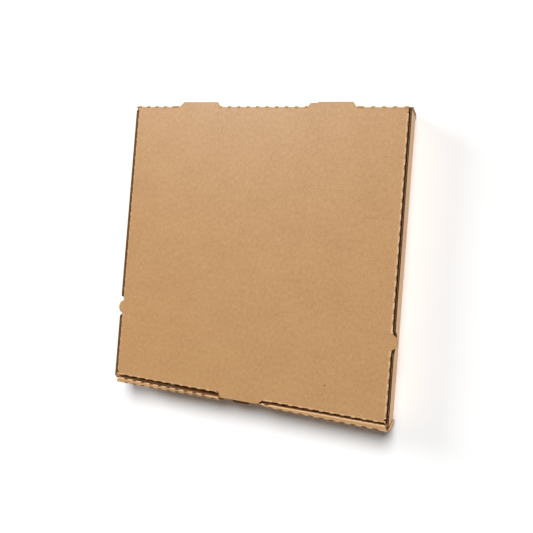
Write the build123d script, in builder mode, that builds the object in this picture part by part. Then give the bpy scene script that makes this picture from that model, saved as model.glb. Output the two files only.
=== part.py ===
import os

from build123d import *

# Roll-over pizza box: one die-cut sheet of corrugated board, folded into a tray
# and a lid that hinges along the top of the tray's rear wall.
# X runs across the box, Y from the front to the hinge and Z up. The origin is
# the middle of the tray's underside. All sizes are in millimetres.

# Board
board = 1.6  # thickness of the corrugated board
crease_radius = 1.4  # of the board's middle plane where it is folded
play = 0.3  # between layers that pass or lie on each other
hinge_play = 0.15  # from the lid's fold to the tip of each panel there

# Creases that are cut through and creased in turns, so that they fold sharply
cut_length = 6.35
cut_pitch = 12.5  # from one cut to the next
cut_opening = 1.1  # of each cut, where the fold opens it
hinge_cut_opening = 2.4  # the same between the lid and the rear wall
rim_cut_shift = 4.0  # of the cuts along the rim's outer crease from those of its inner one

# Box
inside_width = 355.6  # between the side walls
inside_depth = 355.6  # from the rear wall to the rolled front wall
height = 44.45  # from the floor's underside to the lid's outer face
lid_rise = 1.2  # of the lid's outer face above the rims of the tray
lid_gap = 2.0  # between the lid's folded flaps and the walls

# Tray
rim_strip = 6.35  # between the two creases of the rolled front wall
front_overhang = 2.0  # of the front wall past each side wall
rear_overhang = 1.0  # of the rear wall past each side wall
front_corner_flap = 85.0  # length of the flaps trapped in the front wall
rear_corner_flap = 50.0  # length of the flaps tucked inside the rear wall
corner_flap_taper = 8.0  # cut off the corners of those flaps
lock_tab_width = 32.0  # tabs of the inner front panel, in slots of the floor
lock_tab_spacing = 210.0

# Cut-outs of the tray
side_notch_width = 26.0  # at the rim, round the lid's side tabs
side_notch_floor = 14.0
side_notch_depth = 16.0
notch_corner = 3.0  # radius in the floor of each side notch
front_notch_depth = 12.0
front_notch_gap = 0.8  # between the lid's tongue and the notch round it
hump_width = 20.0  # of the low hump in the floor of the front notch
hump_height = 6.0
hump_corner = 4.0  # radius of its left-hand corner

# Lid
side_flap = 38.0  # from the lid's outer face to the flap's edge
side_flap_taper = 24.0  # cut off at the hinge end, for the lid to swing
flap_corner = 10.0  # cut off at the other corners of the flaps
flap_setback = 6.0  # of the side flaps from the hinge
flap_relief = 3.0  # between the side flaps and the front flap
tongue_root = 60.0
tongue_tip = 46.5
tongue_reach = 6.0
side_tab_root = 21.0
side_tab_tip = 8.0
side_tab_reach = 7.0
side_tab_corner = 3.5
side_tab_from_front = 88.5
vent_tab_root = 60.0
vent_tab_tip = 49.0
vent_tab_reach = 6.35
vent_tab_spacing = 174.0

# Places across the box
half_inside = inside_width / 2
half_outside = half_inside + board
side_middle = half_inside + board / 2
lid_half = half_inside - lid_gap
lid_side_middle = lid_half - board / 2

# Places along the box
rolled_wall = board + rim_strip
outside_depth = rolled_wall + inside_depth + board
rear = outside_depth / 2
hinge = rear - board / 2
tuck_middle = rear - board - play - board / 2
front = -outside_depth / 2
outer_middle = front + board / 2
inner_middle = outer_middle + rim_strip
trap_middle = (outer_middle + inner_middle) / 2
roll_inside = front + rolled_wall
lid_front = roll_inside + lid_gap
lid_front_middle = lid_front + board / 2
side_tab_place = lid_front + side_tab_from_front

# Ends of the cut creases, beside the tongue and the tabs
tongue_side = tongue_root / 2 + front_notch_gap
side_tab_front = side_tab_place - side_tab_root / 2
side_tab_rear = side_tab_place + side_tab_root / 2
vent_tab_inner = (vent_tab_spacing - vent_tab_root) / 2
vent_tab_outer = (vent_tab_spacing + vent_tab_root) / 2

# Heights
fold_top = board / 2 + crease_radius
rim = height - lid_rise
lid_under = height - board
axis = height - board / 2
shoulder = axis - hinge_play - board / 2
panel_foot = board + play
rear_flap_top = lid_under - play
front_flap_top = rim - board - play
side_flap_foot = height - side_flap
notch_floor = rim - front_notch_depth

# The front flap is as deep as the swing of its edge past the front wall allows
swing = hinge - roll_inside - play
front_flap_swing = (swing**2 - (hinge - lid_front) ** 2) ** 0.5
front_flap_foot = max(axis - front_flap_swing, panel_foot)


def sheet(*points):
    """Section of the folded sheet along its middle line, rounded at each crease."""
    with BuildSketch() as section:
        with BuildLine():
            FilletPolyline(*points, radius=crease_radius)
        trace(line_width=board)
    return section.sketch


def tab(root, tip, reach, corner=0):
    """Outline of a cut tab: its root on the X axis and its tip above it."""
    with BuildSketch() as outline:
        with BuildLine():
            Polyline((-root / 2, 0), (-tip / 2, reach), (tip / 2, reach), (root / 2, 0), close=True)
        make_face()
        if corner:
            fillet(outline.vertices().group_by(Axis.Y)[-1], corner)
    return outline.sketch


def cut_row(crease, start, end, opening):
    """Row of cuts along a folded edge, from start to end on the X axis of its plane."""
    with BuildSketch(crease) as row:
        with Locations(((start + end) / 2, 0)):
            with GridLocations(cut_pitch, 0, max(int((end - start) // cut_pitch), 1), 1):
                Rectangle(cut_length, opening)
    return row.sketch


# The fold that the lid and the rear wall share, seen square to its cuts
hinge_fold = Plane(origin=(0, hinge, axis), x_dir=(1, 0, 0), z_dir=(0, 1, 1))

# Rolled front wall: outer panel, rim strip and the panel folded down inside. Its
# ends narrow towards the inside, to clear the side walls as it is rolled over.
with BuildPart() as rolled_front:
    with BuildSketch(Plane.YZ):
        add(
            sheet(
                (outer_middle, fold_top),
                (outer_middle, rim - board / 2),
                (inner_middle, rim - board / 2),
                (inner_middle, panel_foot),
            )
        )
    extrude(amount=half_outside, both=True)
    with BuildSketch() as end_taper:
        with BuildLine():
            Polyline(
                (half_outside, front + board),
                (lid_half, roll_inside),
                (half_outside, roll_inside),
                close=True,
            )
        make_face()
        mirror(about=Plane.YZ)
    extrude(amount=rim, mode=Mode.SUBTRACT)
    for middle, shift, lean in ((outer_middle, rim_cut_shift, -1), (inner_middle, 0, 1)):
        rim_fold = Plane(origin=(shift, middle, rim - board / 2), x_dir=(1, 0, 0), z_dir=(0, lean, 1))
        add(cut_row(rim_fold, tongue_side, lid_half, cut_opening))
        add(cut_row(rim_fold, -lid_half, -tongue_side, cut_opening))
        extrude(amount=board, both=True, mode=Mode.SUBTRACT)

# Right-hand corner flaps, folded in from the ends of the side wall
with BuildPart() as corner_flaps:
    with BuildSketch(Plane.XY.offset(fold_top)):
        add(
            sheet(
                (half_inside - front_corner_flap, trap_middle),
                (side_middle, trap_middle),
                (side_middle, tuck_middle),
                (half_inside - rear_corner_flap, tuck_middle),
            )
        )
    extrude(amount=rear_flap_top - fold_top)
    # The flap inside the front wall stays below the rim strip
    with BuildSketch(Plane.XZ.offset(-trap_middle - crease_radius)):
        with Locations((half_outside, front_flap_top)):
            Rectangle(inside_width, board, align=(Align.CENTER, Align.MIN))
    extrude(amount=rolled_wall, mode=Mode.SUBTRACT)
    flap_ends = corner_flaps.edges().filter_by(Axis.Y).group_by(Axis.Y)
    chamfer(flap_ends[0].group_by(Axis.X)[0], length=corner_flap_taper)
    flap_ends = corner_flaps.edges().filter_by(Axis.Y).group_by(Axis.Y)
    chamfer(flap_ends[-1].group_by(Axis.X)[0], length=corner_flap_taper)

with BuildPart() as tray:
    # Rear wall, floor and the foot of the front wall are one strip of the sheet
    with BuildSketch(Plane.YZ):
        add(
            sheet(
                (hinge, shoulder),
                (hinge, board / 2),
                (outer_middle, board / 2),
                (outer_middle, 2 * fold_top),
            )
        )
    extrude(amount=half_inside - play, both=True)
    add(rolled_front.part)

    # The rear wall runs past the side walls, and its top is a ridge under the lid's fold
    with BuildSketch(Plane.YZ):
        with BuildLine():
            Polyline(
                (hinge - board / 2, fold_top),
                (hinge - board / 2, shoulder),
                (hinge, axis - hinge_play),
                (hinge + board / 2, shoulder),
                (hinge + board / 2, fold_top),
                close=True,
            )
        make_face()
    extrude(amount=half_outside + rear_overhang, both=True)
    add(cut_row(hinge_fold, -vent_tab_inner, vent_tab_inner, hinge_cut_opening))
    add(cut_row(hinge_fold, vent_tab_outer, half_outside, hinge_cut_opening))
    add(cut_row(hinge_fold, -half_outside, -vent_tab_outer, hinge_cut_opening))
    extrude(amount=board, both=True, mode=Mode.SUBTRACT)

    # The outer panel of the front wall runs past them too
    with BuildSketch(Plane.XZ.offset(-front - board)):
        with Locations((0, fold_top)):
            Rectangle(
                2 * (half_outside + front_overhang),
                rim - 2 * fold_top,
                align=(Align.CENTER, Align.MIN),
            )
    extrude(amount=board)

    # Side walls, folded up from the floor
    with BuildSketch(Plane.XZ.offset(crease_radius - tuck_middle)):
        add(
            sheet(
                (-side_middle, rim),
                (-side_middle, board / 2),
                (side_middle, board / 2),
                (side_middle, rim),
            )
        )
    extrude(amount=tuck_middle - trap_middle - 2 * crease_radius)
    add(corner_flaps.part)
    add(mirror(corner_flaps.part, about=Plane.YZ, mode=Mode.PRIVATE))

    # Lock tabs of the inner panel, in slots of the floor
    with BuildSketch():
        with Locations((0, inner_middle)):
            with GridLocations(lock_tab_spacing, 0, 2, 1):
                Rectangle(lock_tab_width + 2 * play, board + 2 * play)
    extrude(amount=board, mode=Mode.SUBTRACT)
    with BuildSketch():
        with Locations((0, inner_middle)):
            with GridLocations(lock_tab_spacing, 0, 2, 1):
                Rectangle(lock_tab_width, board)
    extrude(amount=panel_foot)

    # Vents in the rear wall, left where the lid's tabs were cut from it. The
    # margin lets the tabs swing through them at the board's full thickness.
    with BuildSketch(Plane.XZ.offset(-rear)):
        with Locations((0, axis)):
            with GridLocations(vent_tab_spacing, 0, 2, 1):
                add(tab(vent_tab_root, vent_tab_tip, vent_tab_reach), rotation=180)
        offset(amount=board / 2)
    extrude(amount=board, mode=Mode.SUBTRACT)

    # Notches in the side walls, round the lid's side tabs
    with BuildSketch(Plane.YZ):
        with Locations((side_tab_place, rim)):
            add(
                tab(side_notch_width, side_notch_floor, side_notch_depth, notch_corner),
                rotation=180,
            )
    extrude(amount=half_outside, both=True, mode=Mode.SUBTRACT)

    # Notch through the rolled front wall, round the lid's tongue, with its hump
    with BuildSketch(Plane.XY.offset(notch_floor)):
        with Locations((0, lid_front)):
            add(tab(tongue_root, tongue_tip, tongue_reach), rotation=180)
        offset(amount=front_notch_gap)
        with Locations((0, front)):
            Rectangle(tongue_tip + 2 * front_notch_gap, rolled_wall)
    extrude(amount=front_notch_depth, mode=Mode.SUBTRACT)
    with BuildSketch(Plane.XZ.offset(-front - board)) as hump:
        with Locations((0, notch_floor)):
            Rectangle(hump_width, hump_height, align=(Align.CENTER, Align.MIN))
        fillet(hump.vertices().group_by(Axis.Y)[-1].sort_by(Axis.X)[0], hump_corner)
    extrude(amount=board)

with BuildPart() as lid:
    # Top panel and side flaps
    with BuildSketch(Plane.XZ.offset(flap_setback - hinge)):
        add(
            sheet(
                (-lid_side_middle, side_flap_foot),
                (-lid_side_middle, axis),
                (lid_side_middle, axis),
                (lid_side_middle, side_flap_foot),
            )
        )
    extrude(amount=hinge - flap_setback - lid_front - flap_relief)
    flap_ends = lid.edges().filter_by(Axis.X).group_by(Axis.Z)[0].group_by(Axis.Y)
    chamfer(flap_ends[0], length=flap_corner)
    flap_ends = lid.edges().filter_by(Axis.X).group_by(Axis.Z)[0].group_by(Axis.Y)
    chamfer(flap_ends[-1], length=side_flap_taper)

    # Top panel and front flap, from the tip at the hinge
    with BuildSketch(Plane.YZ):
        add(
            sheet(
                (hinge - hinge_play - board / 2, axis),
                (lid_front_middle, axis),
                (lid_front_middle, front_flap_foot),
            )
        )
        with BuildLine():
            Polyline(
                (hinge - hinge_play - board / 2, lid_under),
                (hinge - hinge_play, axis),
                (hinge - hinge_play - board / 2, height),
                close=True,
            )
        make_face()
    extrude(amount=lid_half - play, both=True)
    flap_foot = lid.edges().filter_by(Axis.Y).filter_by_position(
        Axis.Z, front_flap_foot - play, front_flap_foot + play
    )
    chamfer(flap_foot.group_by(Axis.Y)[0], length=flap_corner)

    # Cuts along the lid's creases
    front_fold = Plane(origin=(0, lid_front_middle, axis), x_dir=(1, 0, 0), z_dir=(0, -1, 1))
    add(cut_row(front_fold, tongue_side, lid_half, cut_opening))
    add(cut_row(front_fold, -lid_half, -tongue_side, cut_opening))
    for side in (-1, 1):
        side_fold = Plane(origin=(side * lid_side_middle, 0, axis), x_dir=(0, 1, 0), z_dir=(side, 0, 1))
        add(cut_row(side_fold, lid_front, side_tab_front, cut_opening))
        add(cut_row(side_fold, side_tab_rear, hinge - flap_setback, cut_opening))
    add(cut_row(hinge_fold, -vent_tab_inner, vent_tab_inner, hinge_cut_opening))
    add(cut_row(hinge_fold, vent_tab_outer, half_outside, hinge_cut_opening))
    add(cut_row(hinge_fold, -half_outside, -vent_tab_outer, hinge_cut_opening))
    extrude(amount=board, both=True, mode=Mode.SUBTRACT)

    # Openings in the flaps, left where the tongue and the side tabs were cut from them
    with BuildSketch(Plane.XZ.offset(-lid_front)):
        with Locations((0, lid_under)):
            add(tab(tongue_root, tongue_tip, tongue_reach), rotation=180)
        offset(amount=play)
    extrude(amount=-fold_top, mode=Mode.SUBTRACT)
    with BuildSketch(Plane.YZ.offset(lid_half)):
        with Locations((side_tab_place, lid_under)):
            add(
                tab(side_tab_root, side_tab_tip, side_tab_reach, side_tab_corner),
                rotation=180,
            )
        offset(amount=play)
    opening = extrude(amount=-fold_top, mode=Mode.SUBTRACT)
    mirror(opening, about=Plane.YZ, mode=Mode.SUBTRACT)

    # Tongue, side tabs and vent tabs, which stay in the plane of the top panel
    with BuildSketch(Plane.XY.offset(lid_under)):
        with Locations((0, lid_front)):
            add(tab(tongue_root, tongue_tip, tongue_reach), rotation=180)
            Rectangle(tongue_root, fold_top, align=(Align.CENTER, Align.MIN))
        with Locations((lid_half, side_tab_place)):
            add(
                tab(side_tab_root, side_tab_tip, side_tab_reach, side_tab_corner),
                rotation=-90,
            )
            Rectangle(fold_top, side_tab_root, align=(Align.MAX, Align.CENTER))
        with Locations((-lid_half, side_tab_place)):
            add(
                tab(side_tab_root, side_tab_tip, side_tab_reach, side_tab_corner),
                rotation=90,
            )
            Rectangle(fold_top, side_tab_root, align=(Align.MIN, Align.CENTER))
        with Locations((0, hinge)):
            with GridLocations(vent_tab_spacing, 0, 2, 1):
                add(tab(vent_tab_root, vent_tab_tip, vent_tab_reach))
                Rectangle(vent_tab_root, fold_top, align=(Align.CENTER, Align.MAX))
    extrude(amount=board)

tray.part.label = "tray"
lid.part.label = "lid"

os.makedirs("parts", exist_ok=True)
export_step(tray.part, "parts/tray.step")
export_step(lid.part, "parts/lid.step")
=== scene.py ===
# %% [markdown]
# # A roll-over pizza box, cut flat and then folded
# The real box is one die-cut sheet of brown corrugated board. So this script draws the flat blank,
# gives it two liners with a wavy sheet between them, and bends it along its creases. Shapes made
# this way fit together as the real ones do, and the marks of the cutting die come with them.

# %% Load the packed frame
import bpy
import math
import numpy as np
from mathutils import Matrix, Vector
from mathutils.geometry import delaunay_2d_cdt


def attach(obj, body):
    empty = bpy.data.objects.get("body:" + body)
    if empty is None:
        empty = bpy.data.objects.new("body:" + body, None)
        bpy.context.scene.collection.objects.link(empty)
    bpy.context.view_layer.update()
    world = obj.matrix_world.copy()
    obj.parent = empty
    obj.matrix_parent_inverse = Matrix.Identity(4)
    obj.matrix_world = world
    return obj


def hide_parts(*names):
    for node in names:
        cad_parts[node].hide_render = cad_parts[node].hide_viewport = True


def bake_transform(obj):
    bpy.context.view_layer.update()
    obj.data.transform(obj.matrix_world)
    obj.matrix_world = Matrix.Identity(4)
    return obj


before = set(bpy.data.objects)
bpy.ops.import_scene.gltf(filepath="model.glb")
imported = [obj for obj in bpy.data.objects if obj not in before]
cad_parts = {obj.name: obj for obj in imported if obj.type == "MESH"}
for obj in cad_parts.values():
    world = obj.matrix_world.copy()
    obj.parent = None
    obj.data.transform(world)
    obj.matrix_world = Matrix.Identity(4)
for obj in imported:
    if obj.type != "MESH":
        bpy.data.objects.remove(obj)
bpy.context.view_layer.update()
MM = 0.001


# %% [markdown]
# ## The camera
# The photographer stood above the right half of the box and cropped the picture a little high.
# The place and turn below were found by lining up the lid's corners and creases with the photo.
# A small vertical shift gives the crop, and keeps upright edges as they are in the photo.

# %% Put the camera where the photographer stood
lens_data = bpy.data.cameras.new("photo_camera")
lens_data.sensor_width = 36.0
lens_data.lens = 38.38
lens_data.shift_y = -0.08505
lens_data.clip_start, lens_data.clip_end = 0.05, 20.0
camera = bpy.data.objects.new("photo_camera", lens_data)
bpy.context.scene.collection.objects.link(camera)
bpy.context.scene.camera = camera
stand = Vector((248.87, 30.11, 696.58)) * MM
to_right = Vector((0.939827, 0.078243, -0.332570))
to_top = Vector((-0.068038, 0.996788, 0.042241))
to_back = Vector((0.334807, -0.017071, 0.942132))
turn = Matrix((to_right, to_top, to_back)).transposed()
camera.matrix_world = Matrix.Translation(stand) @ turn.to_4x4()
print("camera height in mm:", round(camera.matrix_world.translation.z / MM))

# %% [markdown]
# ## Sizes of the board and the box
# All sizes are in millimetres until the meshes are made. The board is a fine flute, 1.6 mm thick.
# A crease bends its middle plane round a 1.4 mm radius, so each right-angled crease uses up
# a quarter circle of board. Named once here, these sizes keep every panel's length right.

# %% Name the sizes of the board
BOARD = 1.6
HALF = BOARD / 2
LINER = 0.22
MIDDLE_HALF = 0.1  # half the thickness of the wavy paper
FLUTE = 3.4
WAVE_START = 0.013  # keeps the waves' lines off the corners of the outlines
PER_FLUTE = 8  # lines of the mesh
PRESSED = 0.8  # how much of the wave a crease takes away
RADIUS = 1.4
ARC = RADIUS * math.pi / 2
print("arc of each crease in mm:", round(ARC, 3))

# %% [markdown]
# The flat blank lies where its floor is, so most of its creases have the place of the box's own
# edges, and what is folded up lies further out. Values with a long fraction are sums of panels
# and arcs, taken from the sizes of the packed box.

# %% Name the places in the box and its blank
FLOOR_MIDDLE = HALF  # heights above the table
LID_MIDDLE = 43.65
RIM = 43.25

TRAY_SIDE = 177.2  # where each crease starts in the blank
TRAY_FRONT = -180.375
TRAY_REAR = 180.375
RIM_OUTER = TRAY_FRONT - 41.049
RIM_INNER = TRAY_FRONT - 46.798
PANEL_END = TRAY_FRONT - 88.147
FLAP_FRONT = -177.2
FLAP_REAR = 178.475
LID_SIDE = 173.6
LID_FRONT = -172.1
HINGE = 180.375

LID_END = 175.5  # half the lid's width at its front and its hinge
REAR_WALL_END = 180.4
LID_FLAP_FRONT, LID_FLAP_REAR = -169.625, 175.775  # ends of the lid's side flaps
FRONT_FLAP_FOOT, REAR_FLAP_FOOT = 181.8, 180.8  # lower edges of the tray's corner flaps
SLOT_FRONT, SLOT_REAR = -176.5, -174.3
SIDE_TAB = -84.125  # middles of the tabs
VENT = 87.0
LOCK_TABS = (-105, 105)
print("between the tray's side creases in mm:", 2 * TRAY_SIDE)

# %% [markdown]
# ## Drawing outlines
# A die maker draws a blank as straight runs with rounded corners. The first helper takes a list of
# corners, each with its own radius if it has a third number, and returns the points of the line.
# Blender's curves could round them too, but plain points go straight to the triangulator.

# %% Draw rounded outlines
ROUND_STEP = math.radians(15)


def outline(corners, closed=True):
    """Points of a line through the corners, each (x, y) or (x, y, radius)."""
    points = []
    count = len(corners)
    for i, corner in enumerate(corners):
        here = np.array(corner[:2], float)
        radius = corner[2] if len(corner) > 2 else 0
        if not radius or (not closed and i in (0, count - 1)):
            points.append(here)
            continue
        before = np.array(corners[i - 1][:2]) - here
        after = np.array(corners[(i + 1) % count][:2]) - here
        before, after = before / np.linalg.norm(before), after / np.linalg.norm(after)
        half_angle = math.acos(np.clip(before @ after, -1, 1)) / 2
        reach = radius / math.tan(half_angle)
        bisector = (before + after) / np.linalg.norm(before + after)
        middle = here + bisector * radius / math.sin(half_angle)
        start, end = here + before * reach - middle, here + after * reach - middle
        sweep = math.atan2(start[0] * end[1] - start[1] * end[0], start @ end)
        steps = max(2, int(abs(sweep) / ROUND_STEP))
        for k in range(steps + 1):
            c, s = math.cos(sweep * k / steps), math.sin(sweep * k / steps)
            points.append(middle + (c * start[0] - s * start[1], s * start[0] + c * start[1]))
    return [tuple(p) for p in points]


print("points in a rounded corner:", len(outline([(0, 0), (9, 0, 1), (9, 9)], closed=False)) - 2)

# %% [markdown]
# A slit is drawn as a long thin hole, so that the two sides of a cut can part when it is folded.
# Much of the box is the same left and right, so a line can also be mirrored.

# %% Draw slits and repeated lines
KERF = 0.3


def slit(points):
    """A narrow hole along an open line."""
    line = np.array(points, float)
    along = np.gradient(line, axis=0)
    across = np.stack([-along[:, 1], along[:, 0]], 1)
    across *= KERF / 2 / np.linalg.norm(across, axis=1)[:, None]
    return [tuple(p) for p in np.concatenate([line + across, (line - across)[::-1]])]


def mirrored(points):
    """The same line on the other side of the box."""
    return [(-x, y) for x, y in points][::-1]


def rectangle(left, low, right, high):
    return [(left, low), (right, low), (right, high), (left, high)]


def comb(cuts, start, end, low, high):
    """A line that runs along a cut crease, out to high at the cuts and back to low between them."""
    points = [(start, low)]
    for a, b in sorted(cuts):
        if a > start and b < end:
            points += [(a, low), (a + 0.5, high), (b - 0.5, high), (b, low)]
    return points + [(end, low)]


print("points round a straight slit:", len(slit([(0, 0), (9, 0)])))

# %% [markdown]
# ## Creases
# A crease is a strip of the blank as wide as its quarter circle. Where the die only creased it, the
# strip rolls round and its outer liner swells a little. Where the die cut it, both panels stay flat
# up to the cut and its lips part, which shows the raw end of the board and leaves the rows of
# dashes that this kind of box has. The die cuts through for 6.35 mm in every 12.5 mm.

# %% Spread the cuts along a crease
CUT_LENGTH, CUT_PITCH = 6.35, 12.5


def cuts_along(start, end, shift=0.0):
    """Cuts along a crease from start to end, spread evenly about its middle."""
    count = max(int((end - start) // CUT_PITCH), 1)
    centres = (start + end) / 2 + shift + (np.arange(count) - (count - 1) / 2) * CUT_PITCH
    return [(c - CUT_LENGTH / 2, c + CUT_LENGTH / 2) for c in centres]


print("cuts in 145 mm:", len(cuts_along(30.8, 175.8)))

# %% [markdown]
# A cut opens to its full width only away from its ends, and the board beside it swells only where
# it is whole. Both changes are eased, and the mesh gets lines where they happen.

# %% Name how a cut opens
GAPE = 0.2  # half the width of an open cut
TAPER = 0.9  # of the opening, at each end of a cut
SPREAD = 1.5  # from a cut to where the board is whole enough to swell fully
FADE = 0.8  # how far beside a crease the board is still soft
MARGIN = 0.2  # of the mesh's lines just outside a crease
CLOSEST = 0.12  # that two lines of the mesh may lie
ROLL_LINES = 7  # across each crease
STOPS = (-SPREAD, -0.7, 0.0, TAPER / 2, TAPER)  # lines across the crease, from a cut's end inwards


def eased(share):
    """A share from 0 to 1 that starts and stops gently."""
    share = np.clip(share, 0, 1)
    return share * share * (3 - 2 * share)


print("a quarter of the way, eased:", eased(0.25))

# %% [markdown]
# Each crease says which way it lies, where its cuts are and how it bends. An armature or Blender's
# Bend modifier could turn the panels, but neither parts the lips of a cut. So the crease moves the
# points itself, and asks for the lines that the mesh needs there.

# %% Describe a crease
class Crease:
    """A fold line of the blank. across is 0 if folding moves X, or 1 if it moves Y."""

    def __init__(self, across, line, side, way, span, cuts=(), swell=0.0, cut_at=ARC / 2):
        self.across, self.line, self.side, self.way = across, line, side, way
        self.span, self.cuts, self.swell, self.cut_at = span, sorted(cuts), swell, cut_at

    def place(self, along, off):
        """The point of the blank that lies along the crease and off it by so much."""
        there = self.line + self.side * off
        return (there, along) if self.across == 0 else (along, there)

    def lines(self):
        """Lines that let the mesh bend: strips along the crease, and short lines across it."""
        start, end = self.span
        lips = [self.cut_at - GAPE, self.cut_at, self.cut_at + GAPE] if self.cuts else []
        steps = lips + [off for off in np.linspace(0, ARC, ROLL_LINES)
                        if all(abs(off - lip) > CLOSEST for lip in lips)]
        steps += [-FADE, -MARGIN, ARC + MARGIN, ARC + FADE]
        found = [[self.place(start, off), self.place(end, off)] for off in steps]
        stops = set()
        for a, b in self.cuts:
            stops |= {a + stop for stop in STOPS} | {b - stop for stop in STOPS}
        found += [[self.place(t, -MARGIN), self.place(t, ARC + MARGIN)]
                  for t in sorted(stops) if start < t < end]
        return found

    def slits(self):
        """The cuts, as long thin holes that narrow to a point at each end."""
        found = []
        for a, b in self.cuts:
            edge = [(a + TAPER / 2, 0.6 * GAPE), (a + TAPER, GAPE),
                    (b - TAPER, GAPE), (b - TAPER / 2, 0.6 * GAPE)]
            lip, other_lip = [(t, -w) for t, w in edge], [(t, w) for t, w in edge[::-1]]
            loop = [(a, 0.0), *lip, (b, 0.0), *other_lip]
            found.append([self.place(t, self.cut_at + w) for t, w in loop])
        return found

    def parting(self, along):
        """1 inside a cut and 0 where the crease is whole, then how full it may swell."""
        depth = np.full(len(along), -CUT_PITCH)
        for a, b in self.cuts:
            depth = np.maximum(depth, np.minimum(along - a, b - along))
        return eased(depth / TAPER), eased(-depth / SPREAD)

    def fold(self, points, blank):
        """Bends the points a quarter turn. What lies past the crease turns with it."""
        off = self.side * (blank[:, self.across] - self.line)
        across = self.side * (points[:, self.across] - self.line)
        up = self.way * points[:, 2]
        cut, full = self.parting(blank[:, 1 - self.across])
        turn = np.clip(off, 0, ARC) / RADIUS
        swell = self.swell * full * np.sin(np.pi * np.clip(off / ARC, 0, 1)) ** 2
        reach = RADIUS - up + swell
        before = np.stack([across, up])
        past = np.stack([RADIUS - up, RADIUS + across - ARC])
        rolled = np.stack([reach * np.sin(turn), RADIUS - reach * np.cos(turn)])
        within = cut * np.where(off < self.cut_at, before, past) + (1 - cut) * rolled
        new_across, new_up = np.where(off <= 0, before, np.where(off >= ARC, past, within))
        bent = points.copy()
        bent[:, self.across] = self.line + self.side * new_across
        bent[:, 2] = self.way * new_up
        return bent

    def softened(self, blank):
        """1 in the bend and fading out close beside it."""
        off = self.side * (blank[:, self.across] - self.line)
        along = blank[:, 1 - self.across]
        beside = np.maximum(-off, off - ARC)
        past_end = np.maximum(self.span[0] - along, along - self.span[1])
        return 1 - np.clip(np.maximum(beside, past_end) / FADE, 0, 1)


print("lines of a crease with one cut:", len(Crease(1, 0, 1, 1, (0, 12), [(3, 9)]).lines()))

# %% [markdown]
# ## From the flat blank to triangles
# The outlines and the crease lines go to Blender's own triangulator, and the triangles inside
# the outlines are kept. A boolean cut of a grid would do too, but its edges wouldn't run along
# the creases.

# %% Cut the blank into triangles
MERGE = 1e-4  # points nearer than this become one
SLIVER = 1e-7  # twice the smallest area that counts


def inside(points, loops):
    """True for points that lie inside an odd number of the loops."""
    odd = np.zeros(len(points), bool)
    x, y = points[:, 0], points[:, 1]
    for loop in loops:
        ring = np.array(loop, float)
        for (x1, y1), (x2, y2) in zip(ring, np.roll(ring, -1, axis=0)):
            if y1 != y2:
                crosses = (y1 > y) != (y2 > y)
                odd ^= crosses & (x < (x2 - x1) * (y - y1) / (y2 - y1) + x1)
    return odd


def triangles_of(loops, lines):
    """Triangulates the area inside the loops, with an edge along every line."""
    points, edges = [], []
    for chain, closed in [(loop, True) for loop in loops] + [(line, False) for line in lines]:
        first = len(points)
        points += [Vector(p) for p in chain]
        edges += [(first + i, first + i + 1) for i in range(len(chain) - 1)]
        if closed:
            edges.append((len(points) - 1, first))
    found, _, faces, *_ = delaunay_2d_cdt(points, edges, [], 0, MERGE)
    blank = np.array([tuple(p) for p in found], float)
    faces = np.array(faces, int)
    a, b, c = (blank[faces[:, i]] for i in range(3))
    area = (b[:, 0] - a[:, 0]) * (c[:, 1] - a[:, 1]) - (b[:, 1] - a[:, 1]) * (c[:, 0] - a[:, 0])
    faces[area < 0] = faces[area < 0][:, ::-1]
    faces = faces[np.abs(area) > SLIVER]
    faces = faces[inside(blank[faces].mean(1), loops)]
    used = np.unique(faces)
    return blank[used], np.searchsorted(used, faces)


def cut_edges(faces):
    """Edges with a triangle on one side only, in that triangle's order."""
    edges = np.concatenate([faces[:, [0, 1]], faces[:, [1, 2]], faces[:, [2, 0]]])
    key = edges.min(1) * (faces.max() + 1) + edges.max(1)
    _, first, count = np.unique(key, return_index=True, return_counts=True)
    return edges[first[count == 1]]


print("triangles in a square:", len(triangles_of([rectangle(0, 0, 9, 9)], [])[1]))

# %% [markdown]
# ## Three papers
# The real board is a wavy paper glued between two liners, and its raw ends show it. Each paper here
# is two faces above the flat blank: level ones for a liner, and a sine along Y for the wavy
# paper, which is pressed flat in the creases. A texture could draw the waves, but the cuts would
# still show a solid edge. Normals come from the folding itself, so panels shade flat and creases
# shade round.

# %% Give the papers their heights and normals
def level(height):
    """A face of a liner, which has one height all over the blank."""
    return lambda blank: np.full(len(blank), height)


def wavy(creases, shift):
    """A face of the wavy paper, which has nearly no wave left in the creases."""
    def height(blank):
        soft = np.max([crease.softened(blank) for crease in creases], axis=0)
        swing = (HALF - LINER - MIDDLE_HALF) * (1 - PRESSED * soft)
        return swing * np.sin(2 * np.pi * (blank[:, 1] - WAVE_START) / FLUTE) + shift
    return height


def unit(vectors):
    return vectors / np.maximum(np.linalg.norm(vectors, axis=1), 1e-9)[:, None]


def folded_normals(bend, blank, height, part, step=0.01):
    """Normals of a bent face, from where the points a step away on each side go."""
    def beside(along_x, along_y):
        near = blank + (along_x, along_y)
        return bend(near, height(near), part)

    return unit(np.cross(beside(step, 0) - beside(-step, 0), beside(0, step) - beside(0, -step)))


print("height of the wave in mm:", round(2 * (HALF - LINER - MIDDLE_HALF), 2))

# %% [markdown]
# Blender wants one list of points, one of triangles and one normal for each corner. The blank's own
# X and Y become the UV map, so the paper's grain runs on round every crease, and an attribute
# says where the paper was creased.

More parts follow.
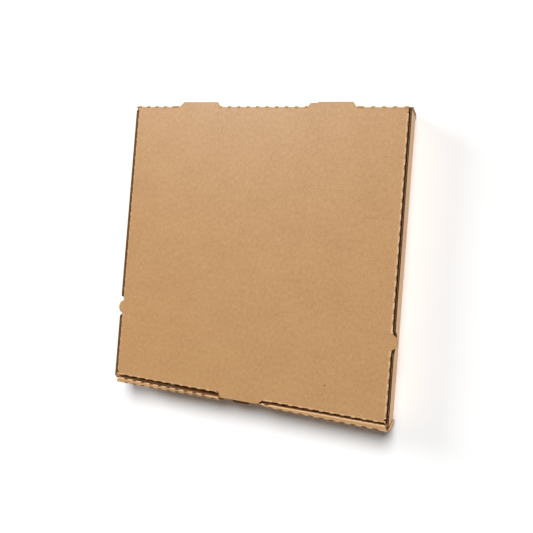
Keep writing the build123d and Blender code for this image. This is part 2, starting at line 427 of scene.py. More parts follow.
# %% Make an object from points and triangles
def board_mesh(name, points, faces, normals, slots, blank, soft, materials):
    """Makes the Blender object, in metres."""
    mesh = bpy.data.meshes.new(name)
    mesh.vertices.add(len(points))
    mesh.loops.add(3 * len(faces))
    mesh.polygons.add(len(faces))
    mesh.vertices.foreach_set("co", (points * MM).ravel())
    mesh.loops.foreach_set("vertex_index", faces.ravel())
    mesh.polygons.foreach_set("loop_start", np.arange(0, 3 * len(faces), 3))
    mesh.polygons.foreach_set("material_index", slots.astype(np.int32))
    mesh.polygons.foreach_set("use_smooth", np.ones(len(faces), bool))
    uv = mesh.uv_layers.new(name="blank")
    uv.data.foreach_set("uv", (blank[faces.ravel()] * MM).ravel())
    creased = mesh.attributes.new("creased", "FLOAT", "POINT")
    creased.data.foreach_set("value", soft.astype(np.float32))
    for material in materials:
        mesh.materials.append(material)
    mesh.update(calc_edges=True)
    mesh.normals_split_custom_set(normals.tolist())
    made = bpy.data.objects.new(name, mesh)
    bpy.context.scene.collection.objects.link(made)
    print(name, "has", len(faces), "triangles")
    return made


print("one wave of the board in the UV map:", FLUTE * MM)

# %% [markdown]
# The tray, the lid and the hinge are all built by the next function. Each paper becomes a closed
# skin: its top, its underside and a wall along its cut edges. Thickness could come from a Solidify
# modifier, but the wavy paper has to clear the liners by a hair, so both its faces are made here.

# %% Build a folded sheet of board
def folded_sheet(name, loops, creases, bend, materials, slits=True, guides=()):
    """One piece of board. bend(blank, height, part) says where its points go."""
    lines = [line for crease in creases for line in crease.lines()] + list(guides)
    if slits:
        loops = loops + [hole for crease in creases for hole in crease.slits()]
    corners = np.concatenate([np.array(loop, float) for loop in loops])
    low, high = corners.min(0), corners.max(0)
    waves = np.arange(math.floor(low[1] / FLUTE * PER_FLUTE),
                      math.ceil(high[1] / FLUTE * PER_FLUTE) + 1) * FLUTE / PER_FLUTE
    wave_lines = [[(low[0] - 1, y), (high[0] + 1, y)] for y in waves + WAVE_START]
    plain, waved = triangles_of(loops, lines), triangles_of(loops, lines + wave_lines)
    upper, lower = (0, 1) if bend.outside_up else (1, 0)
    papers = [(level(HALF), level(HALF - LINER), upper, plain),
              (wavy(creases, MIDDLE_HALF), wavy(creases, -MIDDLE_HALF), 2, waved),
              (level(LINER - HALF), level(-HALF), lower, plain)]
    made = []
    start = 0
    for top, underside, slot, (blank, faces) in papers:
        count = len(blank)
        part = bend.part(blank)
        points = np.concatenate([bend(blank, face(blank), part) for face in (top, underside)])
        up, down = (folded_normals(bend, blank, face, part) for face in (top, underside))
        rim = cut_edges(faces)
        walls = np.concatenate([np.stack([rim[:, 0] + count, rim[:, 1] + count, rim[:, 1]], 1),
                                np.stack([rim[:, 0] + count, rim[:, 1], rim[:, 0]], 1)])
        a, b, c = (points[walls[:, i]] for i in range(3))
        below = faces[:, ::-1]
        normals = np.concatenate([up[faces].reshape(-1, 3), -down[below].reshape(-1, 3),
                                  np.repeat(unit(np.cross(b - a, c - a)), 3, axis=0)])
        triangles = np.concatenate([faces, below + count, walls])
        soft = np.max([crease.softened(blank) for crease in creases], axis=0) * (part != 0)
        made.append((points, triangles + start, normals, np.full(len(triangles), slot),
                     np.tile(blank, (2, 1)), np.tile(soft, 2)))
        start += 2 * count
    return board_mesh(name, *(np.concatenate(rows) for rows in zip(*made)), materials)


print("mesh lines in each wave:", PER_FLUTE)

# %% [markdown]
# ## Writing materials as sums
# A small class stands for a socket of a shader, and its operators add Math nodes. So a mask is
# written as 1 - fade * noise, which is easier to read than a tangle of nodes. Each operator also
# has its reflected form, for a number that comes first.

# %% Wrap a socket so that formulas build nodes
class Amount:
    """A number, vector or colour that varies over a surface."""

    def __init__(self, finish, socket):
        self.finish, self.socket = finish, socket

    def __add__(self, other):
        return self.finish.maths("ADD", self, other)

    def __mul__(self, other):
        return self.finish.maths("MULTIPLY", self, other)

    def __sub__(self, other):
        return self.finish.maths("SUBTRACT", self, other)

    def __rsub__(self, other):
        return self.finish.maths("SUBTRACT", other, self)

    def __lt__(self, other):
        return self.finish.maths("LESS_THAN", self, other)

    def __gt__(self, other):
        return self.finish.maths("GREATER_THAN", self, other)

    __radd__ = __add__
    __rmul__ = __mul__


print("operators of an amount:", sum(callable(method) for method in vars(Amount).values()) - 1)

# %% [markdown]
# The nodes come from one method, which takes a node's type, its settings and what its sockets get.
# Settings go first, because they can change which sockets a node has. A few short methods name
# the nodes that are used most.

# %% Make every node with one method
class Finish:
    """The nodes of a material or of the sky, written from top to bottom."""

    def __init__(self, owner):
        owner.use_nodes = True
        self.owner, self.tree = owner, owner.node_tree
        self.tree.nodes.clear()

    def node(self, kind, settings=None, sockets=None, out=0):
        """Makes a node and returns one of its outputs."""
        made = self.tree.nodes.new(kind)
        for key, value in (settings or {}).items():
            if key == "stops":
                ramp = made.color_ramp
                while len(ramp.elements) < len(value):
                    ramp.elements.new(0.5)
                for stop, (place, shade) in zip(ramp.elements, value):
                    stop.position, stop.color = place, shade
            else:
                setattr(made, key, value)
        for key, value in (sockets or {}).items():
            if isinstance(value, Amount):
                self.tree.links.new(value.socket, made.inputs[key])
            else:
                made.inputs[key].default_value = value
        return Amount(self, made.outputs[out]) if made.outputs else made

    def maths(self, operation, *amounts):
        return self.node("ShaderNodeMath", {"operation": operation}, dict(enumerate(amounts)))

    def vector(self, operation, first, second, out=0):
        settings = {"operation": operation}
        return self.node("ShaderNodeVectorMath", settings, {0: first, 1: second}, out)

    def mix(self, share, first, second):
        """Colours go through a Mix node, because a Math node would turn them grey."""
        sockets = {0: share, 6: first, 7: second}
        return self.node("ShaderNodeMix", {"data_type": "RGBA"}, sockets, out=2)

    def noise(self, vector, scale, detail, roughness):
        return self.node("ShaderNodeTexNoise", None, {
            "Vector": vector, "Scale": scale, "Detail": detail, "Roughness": roughness})

    def show(self, shader, output="ShaderNodeOutputMaterial"):
        self.node(output, None, {"Surface": shader})
        return self.owner


print("methods of a finish:", [name for name in vars(Finish) if not name.startswith("_")])

# %% [markdown]
# ## Brown kraft paper
# The liners are unbleached kraft. Seen close, it has long fibres that lie across the flutes, soft
# clouds where the pulp settled unevenly, and a few dark specks. The flutes show through as a
# faint washboard. The colour could be one flat brown, but the clouds are what makes it read as
# paper. Along the creases it is paler, partly as a stretched liner is and partly as a painted
# highlight where the rounded creases catch the light. All of it is drawn in the flat blank's own
# metres, so it runs round the creases unbroken.

# %% Describe kraft paper
SPECK_STRENGTH = 0.75


def colour(red, green, blue):
    """A colour as a screen mixes it, from 0 to 255, in the linear light that shaders use."""
    return tuple(((x / 255 + 0.055) / 1.055) ** 2.4 if x > 10 else x / 3294.6
                 for x in (red, green, blue)) + (1.0,)


def darkened(shade, share):
    return tuple(x * share for x in shade[:3]) + (1.0,)


def kraft(name, base, pale, dark, seed, washboard, relief, specks=()):
    """Kraft paper of the blank, with fibres along its Y. specks are its own few large ones."""
    paper = Finish(bpy.data.materials.new(name))
    place = paper.node("ShaderNodeUVMap", {"uv_map": "blank"})
    moved = paper.vector("ADD", place, (seed, seed * 0.7, 0))
    grain = paper.vector("MULTIPLY", moved, (1.0, 0.3, 1.0))
    clouds = paper.noise(moved, scale=26.0, detail=3.0, roughness=0.55)
    flocks = paper.noise(moved, scale=210.0, detail=3.0, roughness=0.6)
    fibres = paper.noise(grain, scale=1900.0, detail=3.0, roughness=0.65)
    hairs = paper.noise(grain, scale=620.0, detail=2.0, roughness=0.5)
    tone = (clouds - 0.5) * 0.35 + (flocks - 0.5) * 0.6 + (fibres - 0.5) + (hairs - 0.5) * 0.6
    along_y = paper.node("ShaderNodeSeparateXYZ", None, {0: place}, out=1)
    wave = paper.maths("SINE", along_y * (2 * math.pi / (FLUTE * MM)))
    creased = paper.node("ShaderNodeAttribute", {"attribute_name": "creased"}, out=2)
    # paler along the creases: partly the stretched liner, partly a painted highlight on the rounded
    # creases
    tone = tone + wave * washboard + creased * 0.35
    stops = [(0.0, dark), (0.5, base), (1.0, pale)]
    shade = paper.node("ShaderNodeValToRGB", {"stops": stops}, {0: tone + 0.5})

    # One cell in 67 or so has a speck, and its place and size come from the cell's own middle
    cells = {"Vector": moved, "Scale": 150.0, "Randomness": 1.0}
    away = paper.node("ShaderNodeTexVoronoi", {"feature": "F1"}, cells)
    middle = paper.node("ShaderNodeTexVoronoi", {"feature": "F1"}, cells, out=2)
    pick = paper.node("ShaderNodeTexWhiteNoise", {"noise_dimensions": "3D"}, {"Vector": middle})
    speck = (away < (pick - 0.985) * 5.5) * SPECK_STRENGTH
    shade = paper.mix(speck, shade, darkened(base, 0.18))
    for x, y, radius in specks:
        away = paper.vector("DISTANCE", place, (x * MM, y * MM, 0), out=1)
        spot = (away < radius * MM) * SPECK_STRENGTH
        shade = paper.mix(spot, shade, darkened(base, 0.2))

    height = fibres * 0.35 + hairs * 0.35 + wave * relief
    bump = {"Strength": 0.35, "Distance": 0.00008, "Height": height}
    skin = paper.node("ShaderNodeBsdfPrincipled", None, {
        "Base Color": shade, "Roughness": 0.47 - (flocks - 0.5) * 0.12,
        "Specular IOR Level": 1.0, "Normal": paper.node("ShaderNodeBump", None, bump)})
    return paper.show(skin)


print("mid brown in linear light:", [round(x, 3) for x in colour(193, 147, 96)])

# %% [markdown]
# The outside of the lid carries nine specks that can be seen from above, each as its place in the
# blank and its radius. The flutes show more in the inside liner. The wavy paper is painted much
# darker, as painted shade for how little light gets between the liners.

# %% Make the three papers
SPECKS = [(-102.5, 94.2, 0.45), (-81.6, 132.3, 0.4), (-27.0, 78.5, 0.5),
          (61.3, 86.5, 0.45), (102.6, 83.8, 0.4), (156.6, 54.6, 0.45),
          (109.1, -61.6, 0.5), (103.7, -143.6, 1.0), (152.7, -28.9, 0.4)]
outside_liner = kraft(
    "kraft_outside", base=colour(193, 147, 96), pale=colour(210, 166, 117),
    dark=colour(167, 121, 75), seed=1.3, washboard=0.02, relief=0.12, specks=SPECKS)
inside_liner = kraft(
    "kraft_inside", base=colour(187, 143, 98), pale=colour(204, 161, 115),
    dark=colour(159, 117, 74), seed=4.1, washboard=0.07, relief=0.4)
# painted shade: the wavy paper's dark brown stands for the shade between the liners, not its own
# colour
wavy_paper = kraft(
    "fluted_middle", base=colour(92, 57, 29), pale=colour(110, 70, 38),
    dark=colour(72, 42, 20), seed=7.7, washboard=0.0, relief=0.0)
PAPERS = [outside_liner, inside_liner, wavy_paper]
print("papers:", [paper.name for paper in PAPERS])

# %% [markdown]
# ## The lid
# The lid is the rear part of the same sheet. Its flaps hang down inside the tray. The tongue in
# front and the tab on each side are cut out of the flaps and stay level with the top. Each is
# freed by a slit that stops where the crease begins, as the die cuts it.

# %% Draw the tongue and the side tabs
tongue = outline([
    (-31.5, LID_FRONT + 0.2), (-31.5, -172.6, 1.0), (-28.6, -173.2, 1.6), (-26.2, -179.9, 0.5),
    (23.3, -179.3, 0.5), (30.2, -173.6, 0.6), (30.2, LID_FRONT + 0.2)], closed=False)
right_tab = outline([
    (LID_SIDE - 0.2, -92.8), (176.2, -92.8, 1.0), (183.0, -88.0, 3.2), (183.0, -79.6, 3.2),
    (176.2, -74.2, 1.0), (LID_SIDE - 0.2, -74.2)], closed=False)
round_tip = [(-174.7 - 6.3 * math.sin(a), -85.1 - 8.3 * math.cos(a))
             for a in np.linspace(0.15, math.pi - 0.15, 16)]
left_tab = [(-LID_SIDE + 0.2, -93.8), *round_tip, (-LID_SIDE + 0.2, -76.4)]
print("points round the tongue:", len(tongue))

# %% [markdown]
# The die's rows of cuts run along the lid's front and sides, the rolled front wall and the hinge.
# They stop short of the tabs, and a few rows are shifted as they are on this box.

# %% Place the cuts
FRONT_CUTS = cuts_along(-175.8, -32.0, 4.3) + cuts_along(30.8, 175.8, 4.4)
OUTER_RIM_CUTS = cuts_along(-175.8, -30.8, 3.8) + cuts_along(30.8, 175.8, -1.3)
INNER_RIM_CUTS = cuts_along(-165.8, -40.8, -3.0) + [(31.5, 37.0)]
SIDE_CUTS = cuts_along(-172.625, SIDE_TAB - 10.5) + cuts_along(SIDE_TAB + 10.5, LID_FLAP_REAR)
HINGE_CUTS = cuts_along(-57, 57) + cuts_along(117, 179.4) + cuts_along(-179.4, -117)
print("cuts along the hinge:", len(HINGE_CUTS))

# %% [markdown]
# Two wide tabs at the rear stay level too, and leave vents in the tray's rear wall. Beside and
# between them the sheet ends at the hinge, in teeth where the die cut through.

# %% Outline the lid
TOOTH = HINGE + 1.3


def lid_teeth(start, end):
    return comb(HINGE_CUTS, start, end, HINGE, TOOTH)[::-1]


front_flap = [(-165.5, -203.6), (165.5, -203.6), (LID_END, -193.6), (LID_END, LID_FRONT)]
side_flap = [
    (LID_SIDE, LID_FRONT + 0.5), (LID_SIDE, LID_FLAP_FRONT), (201.6, LID_FLAP_FRONT),
    (211.6, LID_FLAP_FRONT + 10), (211.6, LID_FLAP_REAR - 24), (187.6, LID_FLAP_REAR),
    (LID_SIDE, LID_FLAP_REAR), (LID_SIDE, 176.1), (LID_END, 176.6)]
right_vent_tab = outline([
    (117.0, 181.6, 1.2), (112.3, 188.3, 0.8), (70.0, 188.3, 0.3), (70.0, 187.0, 0.3),
    (61.0, 187.0, 0.8), (57.0, 181.6, 0.6)], closed=False)
left_vent_tab = outline([
    (-56.7, 181.6, 0.6), (-60.7, 188.3, 0.8), (-108.5, 188.3, 1.0), (-113.0, 183.6, 3.0),
    (-117.0, 181.8)], closed=False)
lid_outline = [
    *front_flap, *side_flap, *lid_teeth(117, LID_END), *right_vent_tab, *lid_teeth(-57, 57),
    *left_vent_tab, *lid_teeth(-LID_END, -117), *mirrored(side_flap), (-LID_END, LID_FRONT),
    (-LID_END, -193.6)]
print("corners in the lid's outline:", len(lid_outline))

# %% [markdown]
# No box stands quite true. The right side of this one bulges a little, where the board isn't
# quite square. A lattice could push it out, but one line of numbers does it for all the pieces.

# %% Let the box stand as it does
BULGE, BULGE_REACH = 0.9, 170


def as_it_stands(points):
    """Moves the right side out, and what lies nearer to the middle by less."""
    moved = points.copy()
    moved[:, 0] += BULGE * np.clip(points[:, 0] / BULGE_REACH, 0, 1)
    return moved


print("bulge at the right in mm:", BULGE)

# %% [markdown]
# Folding is where the flat lid becomes a box's lid. A function that says where each point goes
# does it in one step, and the same function gives the normals. The tabs are left out of the
# folding. So is the strip beside the hinge, or its wavy paper would show through the liner.

# %% Fold the lid
lid_front = Crease(1, LID_FRONT, -1, -1, (-176, 176), FRONT_CUTS, swell=0.9, cut_at=1.5)
lid_left = Crease(0, -LID_SIDE, -1, -1, (-169.8, 176), SIDE_CUTS, swell=0.3, cut_at=1.9)
lid_right = Crease(0, LID_SIDE, 1, -1, (-169.8, 176), SIDE_CUTS, swell=0.3, cut_at=1.9)
LEVEL_FROM = 176.05  # from here to the hinge the lid isn't folded


class LidBend:
    """Where each point of the lid's blank goes. Tabs belong to part 0 and stay level."""

    outside_up = True

    def part(self, blank):
        x, y = np.abs(blank[:, 0]), blank[:, 1]
        tabs = inside(blank, [tongue]) | inside(blank, [right_tab]) | inside(blank, [left_tab])
        which = np.where(y < LID_FRONT, 1, np.where(x > LID_SIDE, 2, 0))
        return np.where(tabs | (y > LEVEL_FROM), 0, which)

    def __call__(self, blank, height, part):
        points = np.column_stack([blank, height])
        for which, crease in ((1, lid_front), (2, lid_left), (2, lid_right)):
            chosen = part == which
            points[chosen] = crease.fold(points[chosen], blank[chosen])
        return as_it_stands(points) + (0, 0, LID_MIDDLE)


lid = folded_sheet("lid_sheet", [lid_outline, slit(tongue), slit(right_tab), slit(left_tab)],
                   [lid_front, lid_left, lid_right], LidBend(), PAPERS)
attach(lid, "lid")
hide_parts("lid")

# %% [markdown]
# ## The tray
# The tray's front wall is rolled: up, over a narrow rim strip and down inside, where two tabs lock
# into slots of the floor. It traps the front corner flaps of the side walls. The rear corner flaps
# stand inside the rear wall. All of these are panels of one blank, which could be drawn as
# separate boxes, but only one outline keeps their lengths true to each other.

# %% Draw the sides of the tray
def place_on_wall(start, height):
    """Where a height above the table lies in the blank, on a wall folded up from the floor."""
    return start + ARC + height - (FLOOR_MIDDLE + RADIUS)


side_top = place_on_wall(TRAY_SIDE, RIM)
wall_top = place_on_wall(TRAY_REAR, 42.25)
flap_top = place_on_wall(TRAY_SIDE, 41.35)
rear_flap_top = place_on_wall(TRAY_SIDE, 41.2)
notch_floor = place_on_wall(TRAY_SIDE, 27.25)
wall_foot = TRAY_FRONT - ARC
right_end = [
    (175.2, PANEL_END), (175.2, RIM_INNER - ARC), (177.6, RIM_OUTER, 1.5),
    (180.6, RIM_OUTER + 1.6), (181.4, wall_foot)]
left_end = [
    (174.5, PANEL_END), (174.5, RIM_INNER - ARC), (176.2, RIM_OUTER),
    (177.8, RIM_OUTER + 4), (177.8, wall_foot)]
front_corner_flap = [
    (177.5, wall_foot), (177.5, TRAY_FRONT), (177.0, TRAY_FRONT + 0.8), (177.2, FLAP_FRONT),
    (FRONT_FLAP_FOOT, FLAP_FRONT), (FRONT_FLAP_FOOT, -255.8), (FRONT_FLAP_FOOT + 8, -263.8),
    (flap_top - 8, -263.8), (flap_top, -255.8), (flap_top, FLAP_FRONT)]
side_wall = [
    (side_top, FLAP_FRONT, 1.0), (side_top, SIDE_TAB - 13), (notch_floor, SIDE_TAB - 7, 3.0),
    (notch_floor, SIDE_TAB + 7, 3.0), (side_top, SIDE_TAB + 13), (side_top, FLAP_REAR, 2.0)]
rear_corner_flap = [
    (rear_flap_top, FLAP_REAR), (rear_flap_top, 222.1), (rear_flap_top - 8, 230.1),
    (REAR_FLAP_FOOT + 8, 230.1), (REAR_FLAP_FOOT, 222.1), (REAR_FLAP_FOOT, FLAP_REAR),
    (177.2, FLAP_REAR), (177.0, TRAY_REAR - 0.8), (177.5, TRAY_REAR), (177.5, TRAY_REAR + ARC),
    (REAR_WALL_END, TRAY_REAR + ARC), (REAR_WALL_END, wall_top)]
side_corners = front_corner_flap + side_wall + rear_corner_flap
right_side = outline(right_end + side_corners, closed=False)
left_side = mirrored(outline(left_end + side_corners, closed=False))
print("points along each side:", len(right_side), len(left_side))

# %% [markdown]
# The top of the rear wall has the other half of the hinge's teeth, and the two vents that the
# lid's tabs were cut from. At the far end of the sheet are the two lock tabs.

# %% Outline the tray
wall_tooth = place_on_wall(TRAY_REAR, 41.4)
vent_floor = place_on_wall(TRAY_REAR, 36.5)


def wall_teeth(start, end):
    return comb(HINGE_CUTS, start, end, wall_top, wall_tooth)[::-1]


def vent(middle):
    """The opening that a rear tab of the lid leaves in the top of the rear wall."""
    return [(middle + x, y) for x, y in outline([
        (31.2, wall_top), (25.3, vent_floor, 0.6), (-25.3, vent_floor, 0.6),
        (-31.2, wall_top)], closed=False)]


rear_top = (wall_teeth(118.2, REAR_WALL_END) + vent(VENT) + wall_teeth(-55.8, 55.8)
            + vent(-VENT) + wall_teeth(-REAR_WALL_END, -118.2))
foot = []
for middle in LOCK_TABS:
    foot += [(middle - 16, PANEL_END), (middle - 14.5, PANEL_END - 1.9),
             (middle + 14.5, PANEL_END - 1.9), (middle + 16, PANEL_END)]
tray_outline = foot + right_side + rear_top[1:-1] + left_side
slots = [rectangle(middle - 16.3, SLOT_FRONT, middle + 16.3, SLOT_REAR) for middle in LOCK_TABS]
print("corners in the tray's outline:", len(tray_outline))

# %% [markdown]
# The thumb notch goes through both panels of the rolled wall and the strip between them, so in
# the blank it is one long hole. A low hump is left at its foot in the outer panel, under the
# tongue. A boolean cut after folding would be square to the wall, and lose the slanted ends.

# %% Draw the thumb notch
wall_notch = TRAY_FRONT - 31.0
panel_notch = RIM_INNER - ARC - 9.8
thumb_notch = outline([
    (-24.05, wall_notch, 1.5), (-17, wall_notch), (-8.5, wall_notch - 6, 5.0),
    (9.5, wall_notch - 6, 0.5), (9.5, wall_notch), (24.05, wall_notch, 1.5),
    (24.05, RIM_OUTER - ARC), (28.95, RIM_INNER - ARC), (28.95, panel_notch, 1.5),
    (-28.95, panel_notch, 1.5), (-29.5, RIM_INNER - ARC), (-28.0, RIM_OUTER - ARC),
    (-28.0, RIM_OUTER + 2.2), (-24.05, RIM_OUTER + 2.6)])
print("points round the thumb notch:", len(thumb_notch))

# %% [markdown]
# Ten creases turn the blank into the tray. Of these only the two along the rim are perforated.
# The others lie along the floor or inside the corners, where a plain crease is all that shows.

# %% Crease the tray
tray_creases = {
    "inner rim": Crease(1, RIM_INNER, -1, 1, (-180, 180), INNER_RIM_CUTS, swell=0.35),
    "outer rim": Crease(1, RIM_OUTER, -1, 1, (-180, 180), OUTER_RIM_CUTS, swell=0.5, cut_at=1.55),
    "front": Crease(1, TRAY_FRONT, -1, 1, (-178, 178)),
    "rear": Crease(1, TRAY_REAR, 1, 1, (-178, 178)),
    "left": Crease(0, -TRAY_SIDE, -1, 1, (FLAP_FRONT, FLAP_REAR)),
    "right": Crease(0, TRAY_SIDE, 1, 1, (FLAP_FRONT, FLAP_REAR)),
    "left front flap": Crease(1, FLAP_FRONT, -1, 1, (-221, -FRONT_FLAP_FOOT)),
    "right front flap": Crease(1, FLAP_FRONT, -1, 1, (FRONT_FLAP_FOOT, 221)),
    "left rear flap": Crease(1, FLAP_REAR, 1, 1, (-221, -REAR_FLAP_FOOT)),
    "right rear flap": Crease(1, FLAP_REAR, 1, 1, (REAR_FLAP_FOOT, 221)),
}
print("creases of the tray:", len(tray_creases))

# %% [markdown]
# On this box the left half of the roll isn't pressed home. Its rim strip stands tilted towards
# the thumb notch, and the hump below the notch leans out. A table gives how far each crease has
# moved at places across the wall, in mm, and what lies between two places is shared out evenly.

# %% Settle the rolled front wall
ROLL = {
    "place": [-179, -133, -83, -40, -12, 12, 24, 31, 38, 50, 80, 110, 150, 179],
    "outer out": [2.0, 2.1, 2.1, 1.9, 2.0, 1.9, -3.0, -1.7, -0.6, -0.5, 0.0, 0.4, 1.0, 1.3],
    "inner out": [3.4, 4.7, 5.5, 5.9, 5.7, 2.4, 2.8, 3.2, 3.4, 3.4, 3.1, 2.7, 2.5, 2.2],
    "outer down": [0.0, 0.8, 1.8, 2.6, 1.4, 0.3] + [0.0] * 8,
    "inner up": [0.0, -0.8, -1.2, -1.2, -0.6] + [0.0] * 9,
}
ROLL_HEIGHT, MOST_LEAN = 41.0, 1.1  # the lean grows up to 1.1 times the roll's height
TO_OUTER, RIM_RUN = 42.15, 5.75  # along the blank to the outer crease, and on to the inner one
HUMP_START, HUMP_END, HUMP_HALF, HUMP_HEIGHT = 31.5, 38, 20, 6


def settle_roll(points, blank):
    """Leans and tilts the rolled front wall as it stands on this box. The floor stays put."""
    x, past = blank[:, 0], TRAY_FRONT - blank[:, 1]
    outer_out, inner_out, outer_down, inner_up = (
        np.interp(x, ROLL["place"], ROLL[key])
        for key in ("outer out", "inner out", "outer down", "inner up"))
    across = np.clip((past - TO_OUTER) / RIM_RUN, 0, 1)
    height = np.clip(points[:, 2] / ROLL_HEIGHT, 0, MOST_LEAN) * (past > ARC)
    moved = points.copy()
    moved[:, 1] -= height * ((1 - across) * outer_out + across * inner_out)
    moved[:, 2] += height * (across * inner_up - (1 - across) * outer_down)
    on_hump = (np.abs(x) < HUMP_HALF) * (past < HUMP_END)
    hump = np.clip(past - HUMP_START, 0, HUMP_HEIGHT) * on_hump
    moved[:, 1] -= hump * np.interp(x, [-17, 10], [0.25, 0.0])
    return moved


print("most that the rim leans out in mm:", max(ROLL["inner out"]))

# %% [markdown]
# The tray folds from the tips inwards: the rim before the front wall, and the corner flaps before
# the side walls. The other way round, each crease would have to know where the last one left it.

# %% Describe how the tray folds
class TrayBend:
    """Where each point of the tray goes. Part 1 runs from the rear wall to the rolled front."""

    outside_up = False

    def part(self, blank):
        x, y = np.abs(blank[:, 0]), blank[:, 1]
        walls = (x > TRAY_SIDE) & (y > FLAP_FRONT - 0.01) & (y < FLAP_REAR + 0.01)
        front_flaps = (x > FRONT_FLAP_FOOT - 0.2) & (y <= FLAP_FRONT)
        rear_flaps = (x > REAR_FLAP_FOOT - 0.2) & (y >= FLAP_REAR)
        return np.where(walls | front_flaps | rear_flaps, 2, 1)

    def __call__(self, blank, height, part):
        points = np.column_stack([blank, height])
        strip, walls = part == 1, part == 2
        p = points[strip]
        for name in ("inner rim", "outer rim", "front"):
            p = tray_creases[name].fold(p, blank[strip])
        p = settle_roll(p, blank[strip])
        points[strip] = tray_creases["rear"].fold(p, blank[strip])
        p = points[walls]
        for name in ("left front flap", "right front flap", "left rear flap", "right rear flap"):
            on_it = np.sign(blank[walls, 0]) == (1 if name.startswith("right") else -1)
            p[on_it] = tray_creases[name].fold(p[on_it], blank[walls][on_it])
        for name in ("left", "right"):
            p = tray_creases[name].fold(p, blank[walls])
        points[walls] = p
        return as_it_stands(points) + (0, 0, FLOOR_MIDDLE)


print("middle of the blank, folded:", TrayBend()(np.zeros((1, 2)), np.zeros(1), np.ones(1)))

# %% [markdown]
# The rolled wall is twisted, so its mesh needs a grid of short triangles as well, or the three
# papers would cut through each other. The rows of the grid are one flute apart. Its columns stand
# at the places in the roll's table and every 14 mm besides.

# %% Fold the tray
grid_places = sorted(set(ROLL["place"]) | set(range(-168, 170, 14)))
grid_rows = np.arange(math.ceil(PANEL_END / FLUTE), math.floor(wall_foot / FLUTE))
roll_grid = [[(x, PANEL_END - 2), (x, wall_foot - 0.3)] for x in grid_places]
roll_grid += [[(-182, y), (182, y)] for y in grid_rows * FLUTE + WAVE_START]
tray = folded_sheet("tray_sheet", [tray_outline, *slots, thumb_notch],
                    list(tray_creases.values()), TrayBend(), PAPERS, guides=roll_grid)
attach(tray, "tray")
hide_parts("tray")

# %% [markdown]
# ## The hinge
# The lid turns where the board is only creased, between the cuts along the rear edge. These short
# bridges of board belong half to the rear wall and half to the lid, so they are a piece of their
# own, folded here as they lie when the lid is shut.

# %% Make the hinge's bridges
rear_fold = Crease(1, HINGE, 1, -1, (-180, 180), HINGE_CUTS, swell=1.9)


class HingeBend:
    """The bridges fold down from the lid to the rear wall."""

    outside_up = True

    def part(self, blank):
        return np.ones(len(blank), int)

    def __call__(self, blank, height, part):
        points = rear_fold.fold(np.column_stack([blank, height]), blank)
        return as_it_stands(points) + (0, 0, LID_MIDDLE)


bridges = []
for start, end in ((-LID_END, -117.0), (-57.0, 57.0), (117.0, LID_END)):
    cut_ends = [x for a, b in sorted(HINGE_CUTS) if a > start and b < end for x in (a, b)]
    ends = [start, *cut_ends, end]
    bridges += [rectangle(a, HINGE, b, HINGE + ARC) for a, b in zip(ends[::2], ends[1::2])]
hinge = folded_sheet("hinge_bridges", bridges, [rear_fold], HingeBend(), PAPERS, slits=False)
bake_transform(hinge)

# %% [markdown]
# ## The floor
# The photo shows the box on white, with a soft grey shadow. The floor is white to the camera
# and greyer to the rest of the scene, so that it doesn't throw too much light back at the box.
# A brighter lamp would make it white too, but would bleach the board.

# %% Lay the floor
floor_mesh = bpy.data.meshes.new("studio_floor")
corners = [(x, y, 0) for x, y in rectangle(-5, -5, 5, 5)]
floor_mesh.from_pydata(corners, [], [(0, 1, 2, 3)])
floor = bpy.data.objects.new("studio_floor", floor_mesh)
bpy.context.scene.collection.objects.link(floor)
white = Finish(bpy.data.materials.new("studio_white"))
seen = white.node("ShaderNodeLightPath", out="Is Camera Ray")
tint = white.mix(seen, (0.62, 0.62, 0.62, 1), (1.0, 1.0, 1.0, 1))
floor_mesh.materials.append(white.show(white.node("ShaderNodeBsdfDiffuse", None, {"Color": tint})))
print("floor in metres:", [round(x) for x in floor.dimensions])

# %% [markdown]
# ## The sky
# Round the floor, the camera sees a plain white sky. To the box it is far dimmer, just enough
# to lift the deepest shadows, since the lamps give nearly all the light.

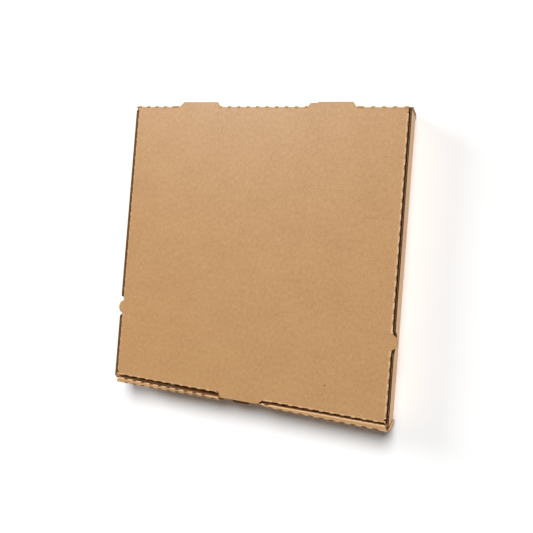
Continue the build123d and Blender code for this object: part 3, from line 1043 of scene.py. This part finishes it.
# %% Make the sky
SKY = 0.08
sky = Finish(bpy.data.worlds.new("studio_sky"))
seen = sky.node("ShaderNodeLightPath", out="Is Camera Ray")
glow = sky.node("ShaderNodeBackground", None, {
    "Color": (1.0, 1.0, 1.0, 1.0), "Strength": SKY + seen * (1 - SKY)})
bpy.context.scene.world = sky.show(glow, "ShaderNodeOutputWorld")
print("light of the sky on the box:", SKY)

# %% [markdown]
# ## The lamps
# In the photo the shadow falls in front of the box and faintly to its right, while the front
# creases catch the light. One lamp can't do both. So the box and the floor have lamps of their
# own, by light linking. The box has a window behind to the left, and low suns from the rear, the
# front and the right. The floor has a sun from behind and a weaker one from the left, for the two
# shadows.

# %% Hang the lamps
lit_box = bpy.data.collections.new("lit_box")
lit_floor = bpy.data.collections.new("lit_floor")
for piece in (lid, tray, hinge):
    lit_box.objects.link(piece)
lit_floor.objects.link(floor)


def lamp(name, direction, share, lights, angle=0.0, size=0.0, distance=1.3):
    """A lamp for the box or the floor alone. share is how bright it makes a level white surface."""
    towards = Vector(direction).normalized()
    data = bpy.data.lights.new(name, "AREA" if size else "SUN")
    made = bpy.data.objects.new(name, data)
    if size:
        data.size = size
        data.energy = share * math.pi ** 2 * distance ** 2 / towards.z
        made.location = towards * distance
    else:
        data.energy, data.angle = share * math.pi / towards.z, math.radians(angle)
    made.rotation_mode = "QUATERNION"
    made.rotation_quaternion = towards.to_track_quat("Z", "Y")
    bpy.context.scene.collection.objects.link(made)
    made.light_linking.receiver_collection = lights


lamp("window", (-0.36, 0.45, 0.72), 0.30, lit_box, size=0.9, distance=2.5)
lamp("rear_lamp", (0.1, 0.9, 0.45), 0.46, lit_box, angle=16)
lamp("front_lamp", (0.1, -1.0, 0.35), 0.12, lit_box, angle=16)
lamp("right_lamp", (1.0, -0.05, 0.2), 0.12, lit_box, angle=12)
lamp("floor_rear", (0.12, 0.7, 1.0), 0.8, lit_floor, angle=28)
lamp("floor_left", (-0.8, 0.35, 0.42), 0.17, lit_floor, angle=24)
bpy.context.scene.view_settings.view_transform = "Standard"

# %% [markdown]
